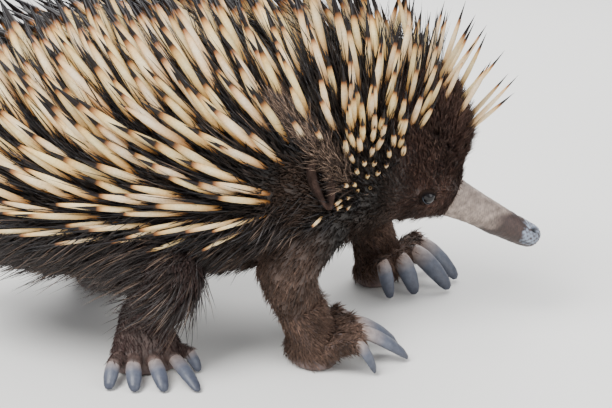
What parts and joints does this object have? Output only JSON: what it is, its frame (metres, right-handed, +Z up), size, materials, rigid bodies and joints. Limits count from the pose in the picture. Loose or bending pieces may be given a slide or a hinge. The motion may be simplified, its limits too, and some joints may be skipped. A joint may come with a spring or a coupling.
{
  "type": "short-beaked echidna",
  "caption": "Life-size still model of a short-beaked echidna walking, with a coat of pale, dark-tipped spines, a bare beak and strong claws.",
  "frame": {"origin": "on the floor, under the middle of the model's bounding box", "axes": "+X towards the beak, +Y towards the animal's left side, +Z up from the floor"},
  "size_m": [0.3725, 0.2021, 0.2046],
  "materials": {
    "spines": "satin",
    "fur": "matte",
    "beak": "matte",
    "skin": "matte",
    "claw": "satin",
    "eye": "gloss"
  },
  "bodies": {
    "root": {"beak": "beak", "ear_l": "skin", "ear_r": "skin", "eye_l": "eye", "eye_r": "eye", "fore_foot_l": "skin", "fore_foot_l_claw_1": "claw", "fore_foot_l_claw_2": "claw", "fore_foot_l_claw_3": "claw", "fore_foot_l_claw_4": "claw", "fore_foot_l_claw_5": "claw", "fore_foot_r": "skin", "fore_foot_r_claw_1": "claw", "fore_foot_r_claw_2": "claw", "fore_foot_r_claw_3": "claw", "fore_foot_r_claw_4": "claw", "fore_foot_r_claw_5": "claw", "fore_leg_l": "fur", "fore_leg_r": "fur", "head": "fur", "hind_foot_l": "skin", "hind_foot_l_claw_1": "claw", "hind_foot_l_claw_2": "claw", "hind_foot_l_claw_3": "claw", "hind_foot_l_claw_4": "claw", "hind_foot_l_claw_5": "claw", "hind_foot_r": "skin", "hind_foot_r_claw_1": "claw", "hind_foot_r_claw_2": "claw", "hind_foot_r_claw_3": "claw", "hind_foot_r_claw_4": "claw", "hind_foot_r_claw_5": "claw", "hind_leg_l": "fur", "hind_leg_r": "fur", "neck": "spines", "tail": "spines", "torso": "spines"}
  },
  "joints": []
}
